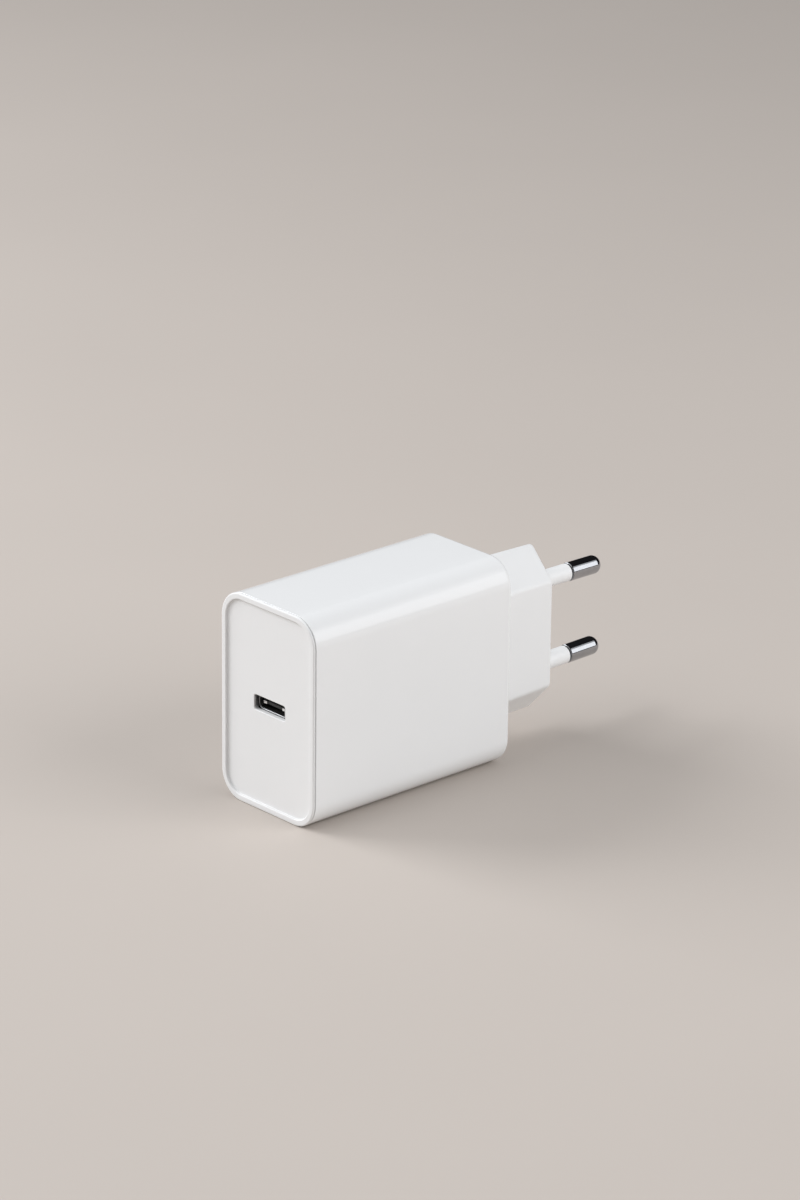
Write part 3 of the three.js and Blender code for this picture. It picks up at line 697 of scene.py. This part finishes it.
def build_shell():
    """Drawn receptacle shell, with a flat lip on each side that lines the end of the slot."""
    wall = SHELL_WALL
    soft = 0.1 * MM
    lip_edge = 0.06 * MM
    mouth = FRONT_Y + PANEL_BACK
    end = SHELL[1].y
    outer = rounded_rectangle(SHELL_WIDTH, SHELL_HEIGHT, SHELL_CORNER)
    middle = rounded_rectangle(SHELL_WIDTH - wall, SHELL_HEIGHT - wall, SHELL_CORNER - wall / 2)
    inner = rounded_rectangle(SHELL_WIDTH - 2 * wall, SHELL_HEIGHT - 2 * wall, SHELL_CORNER - wall)
    rings = [
        ring_at(outer, end, PORT_Z),
        ring_at(outer, mouth + soft, PORT_Z),
        ring_at(middle, mouth, PORT_Z),
        ring_at(inner, mouth + soft, PORT_Z),
        ring_at(inner, end, PORT_Z),
    ]
    bm = bmesh.new()
    add_rings(bm, rings, closed=True)
    lip_outer = SHELL[1].x
    for x0, x1 in ((-lip_outer, -LIP_INNER), (LIP_INNER, lip_outer)):
        low = (x0, SHELL[0].y, PORT_Z - LIP_HALF)
        high = (x1, FRONT_Y + LIP_BACK, PORT_Z + LIP_HALF)
        add_bevelled_box(bm, low, high, lip_edge)
    return finish_piece("port_shell_drawn", bm, ["port_shell"], port_steel.material)


def build_tongue():
    """Black tongue with a bevelled tip on a stepped base."""
    half = TONGUE_HALF
    edge = TONGUE_EDGE
    low, high = TONGUE
    tip_edge = 0.12 * MM
    step_edge = 0.08 * MM
    step_side = 3.0 * MM
    step = half + 0.3 * MM
    base_corner = 0.95 * MM
    bm = bmesh.new()
    add_bevelled_box(bm, (-edge, low.y, PORT_Z - half), (edge, high.y, PORT_Z + half), tip_edge)
    base = rounded_rectangle(high.x - low.x, high.z - low.z, base_corner, arc_steps=6, side_steps=2)
    front = FRONT_Y + TONGUE_BASE
    rings = [ring_at(base, front, PORT_Z), ring_at(base, high.y, PORT_Z)]
    add_rings(bm, rings, cap_start=True, cap_end=True)
    step_low = (-step_side, FRONT_Y + TONGUE_STEP, PORT_Z - step)
    add_bevelled_box(bm, step_low, (step_side, front, PORT_Z + step), step_edge)
    return finish_piece("port_tongue_moulded", bm, ["port_tongue"], tongue_black.material)


def build_contacts():
    """Twelve gold contacts on each face of the tongue."""
    bm = bmesh.new()
    count = 12
    pitch = 0.5 * MM
    width = 0.26 * MM
    height = 0.03 * MM
    edge = 0.01 * MM
    short = 0.6 * MM
    long = 0.35 * MM
    end = FRONT_Y + 6.5 * MM
    for face in (-1, 1):
        low_z = PORT_Z + min(face * TONGUE_HALF, face * (TONGUE_HALF + height))
        for i in range(count):
            x = (i - (count - 1) / 2) * pitch
            start = TONGUE[0].y + (short if i % 3 else long)
            low = (x - width / 2, start, low_z)
            high = (x + width / 2, end, low_z + height)
            add_bevelled_box(bm, low, high, edge, segments=1)
    return finish_piece("port_contacts", bm, None, contact_gold.material)


def build_latch():
    """Bright steel rail along each edge of the tongue, hooked across its tip and joined behind it."""
    low, high = LATCH
    half = 0.28 * MM
    edge = 0.06 * MM
    ring_edge = 0.04 * MM
    ring_height = 0.2 * MM
    ring_start = high.y - 0.35 * MM
    hook_end = low.y + HOOK_DEPTH
    bm = bmesh.new()
    for x0, x1 in ((low.x, low.x + RAIL_WIDTH), (high.x - RAIL_WIDTH, high.x)):
        add_bevelled_box(bm, (x0, low.y, PORT_Z - half), (x1, high.y, PORT_Z + half), edge)
    for x0, x1 in ((low.x, low.x + HOOK_WIDTH), (high.x - HOOK_WIDTH, high.x)):
        add_bevelled_box(bm, (x0, low.y, PORT_Z - half), (x1, hook_end, PORT_Z + half), edge)
    for z0, z1 in ((low.z, low.z + ring_height), (high.z - ring_height, high.z)):
        add_bevelled_box(bm, (low.x, ring_start, z0), (high.x, high.y, z1), ring_edge)
    return finish_piece("port_latch_steel", bm, ["port_latch_frame"], latch_steel.material)


build_shell()
build_tongue()
build_contacts()
build_latch()


# ---------------------------------------------------------------- inner pieces


def dress(nodes, material):
    """Gives CAD nodes a better material."""
    for name in nodes:
        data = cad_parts[name].data
        data.materials.clear()
        data.materials.append(material.material)


dress(["main_board", "port_board"], circuit_board("board_green", (0.03, 0.16, 0.07)))
dress(
    ["transformer_core_front", "transformer_core_rear", "choke_core"],
    ground_ferrite("core_ferrite", (0.05, 0.05, 0.054)),
)
dress(
    ["transformer_winding", "choke_winding_upper", "choke_winding_lower"],
    wound_wire("winding_copper", (0.62, 0.26, 0.1)),
)
dress(["transformer_bobbin"], moulded_plastic("bobbin_black", (0.025, 0.025, 0.027), 0.45, variation=0.2))
dress(["transformer_tape"], moulded_plastic("tape_yellow", (0.75, 0.52, 0.06), 0.3, variation=0.08))
dress(
    ["bulk_capacitor_lower", "bulk_capacitor_middle", "bulk_capacitor_upper"],
    moulded_plastic("sleeve_dark", (0.02, 0.022, 0.03), 0.28, variation=0.15),
)
dress(
    ["output_capacitor_upper", "output_capacitor_lower"],
    plated_metal("can_aluminium", (0.8, 0.81, 0.82), 0.28, along=(4, 0.3, 4)),
)
dress(["film_capacitor"], moulded_plastic("box_yellow", (0.68, 0.46, 0.07), 0.35, variation=0.08))
dress(["line_fuse"], moulded_plastic("box_brown", (0.2, 0.09, 0.035), 0.4, variation=0.1))
dress(["safety_capacitor"], moulded_plastic("dip_blue", (0.04, 0.16, 0.42), 0.3, variation=0.1))
dress(["surge_disc"], moulded_plastic("dip_green", (0.05, 0.28, 0.1), 0.3, variation=0.1))
dress(["optocoupler"], moulded_plastic("package_white", (0.72, 0.72, 0.7), 0.5))
dress(
    ["bridge_rectifier", "switch_controller", "sync_rectifier", "protocol_chip"],
    moulded_plastic("package_black", (0.02, 0.02, 0.021), 0.5, variation=0.2),
)
dress(["thermal_pad"], moulded_plastic("pad_grey", (0.3, 0.37, 0.45), 0.75, grain=0.05, variation=0.06))
dress(["heat_spreader"], plated_metal("sheet_aluminium", (0.78, 0.79, 0.8), 0.3, along=(0.3, 6, 6)))
dress(["insulating_sheet"], moulded_plastic("film_cream", (0.74, 0.7, 0.6), 0.35, variation=0.03))
dress(
    ["live_contact_strip", "neutral_contact_strip"],
    plated_metal("strip_brass", (0.76, 0.58, 0.28), 0.26, along=(0.3, 6, 6)),
)


# ---------------------------------------------------------------- studio


def build_floor():
    """Wide pale floor with a slow, faint drift in its tone."""
    mesh = bpy.data.meshes.new("studio_floor")
    bm = bmesh.new()
    bmesh.ops.create_grid(bm, x_segments=2, y_segments=2, size=FLOOR_REACH)
    bm.to_mesh(mesh)
    bm.free()
    floor = bpy.data.objects.new("studio_floor", mesh)
    bpy.context.scene.collection.objects.link(floor)
    n = Nodes("floor_pale")
    where = n.position()
    drift = n.noise(where, 0.01, 2)
    tint = n.ramp(drift, "Fac", [(0.3, FLOOR), (0.7, shade(FLOOR, 1.02))])
    n.link(tint, "Color", n.shader, "Base Color")
    n.set(Roughness=0.7)
    mesh.materials.append(n.material)


def add_area(name, direction, distance, size, power):
    """Soft rectangular light that faces the middle of the body."""
    light = bpy.data.lights.new(name, "AREA")
    light.shape = "RECTANGLE"
    light.size, light.size_y = size
    light.energy = power
    light.color = LIGHT_COLOUR
    lamp = bpy.data.objects.new(name, light)
    away = Vector(direction).normalized()
    target = Vector((0, 0, BODY_HEIGHT / 2))
    lamp.location = target + away * distance
    lamp.rotation_euler = away.to_track_quat("Z", "Y").to_euler()
    bpy.context.scene.collection.objects.link(lamp)
    return lamp


def add_edge_strips():
    """Upright soft panel behind on the right, of strips that fade out at its top.

    The strips lie along the cone of directions that the body's long edges and the pins reflect.
    """
    step = math.radians(EDGE_STEP)
    size = (EDGE_WIDTH, EDGE_DISTANCE * step)
    for i, share in enumerate(EDGE_SHARES):
        rise = math.radians(EDGE_START) + step * (i + 0.5)
        turn = math.acos(EDGE_CONE / math.cos(rise))
        direction = (math.sin(turn) * math.cos(rise), EDGE_CONE, math.sin(rise))
        power = EDGE_RADIANCE * share * math.pi * size[0] * size[1]
        add_area(f"edge_strip_{i}", direction, EDGE_DISTANCE, size, power)


def build_world():
    """Even soft light. Reflections see a dark studio in place of it."""
    world = bpy.data.worlds.new("studio")
    bpy.context.scene.world = world
    world.use_nodes = True
    tree = world.node_tree
    background = tree.nodes["Background"]
    background.inputs["Color"].default_value = (*WORLD_COLOUR, 1)
    background.inputs["Strength"].default_value = WORLD_STRENGTH
    dark = tree.nodes.new("ShaderNodeBackground")
    dark.inputs["Color"].default_value = (*MIRROR_COLOUR, 1)
    dark.inputs["Strength"].default_value = 1.0
    path = tree.nodes.new("ShaderNodeLightPath")
    mix = tree.nodes.new("ShaderNodeMixShader")
    tree.links.new(path.outputs["Is Glossy Ray"], mix.inputs["Fac"])
    tree.links.new(background.outputs["Background"], mix.inputs[1])
    tree.links.new(dark.outputs["Background"], mix.inputs[2])
    tree.links.new(mix.outputs["Shader"], tree.nodes["World Output"].inputs["Surface"])


def build_camera():
    """Long lens, high on the right of the port face."""
    back = CAMERA_RIGHT.cross(CAMERA_UP)
    data = bpy.data.cameras.new("camera")
    data.sensor_fit = "VERTICAL"
    data.sensor_height = SENSOR_HEIGHT
    data.lens = CAMERA_LENS
    data.clip_start = 0.05
    data.clip_end = 60.0
    camera = bpy.data.objects.new("camera", data)
    rotation = Matrix((CAMERA_RIGHT, CAMERA_UP, back)).transposed().to_4x4()
    camera.matrix_world = Matrix.Translation(CAMERA_PLACE) @ rotation
    bpy.context.scene.collection.objects.link(camera)
    bpy.context.scene.camera = camera


build_floor()
build_world()
build_camera()
for light_name, direction, power, reflected in SOFT_LIGHTS:
    lamp = add_area(light_name, direction, LIGHT_DISTANCE, LIGHT_SIZE, power)
    lamp.visible_glossy = reflected
add_edge_strips()
bpy.context.scene.view_settings.view_transform = "Standard"
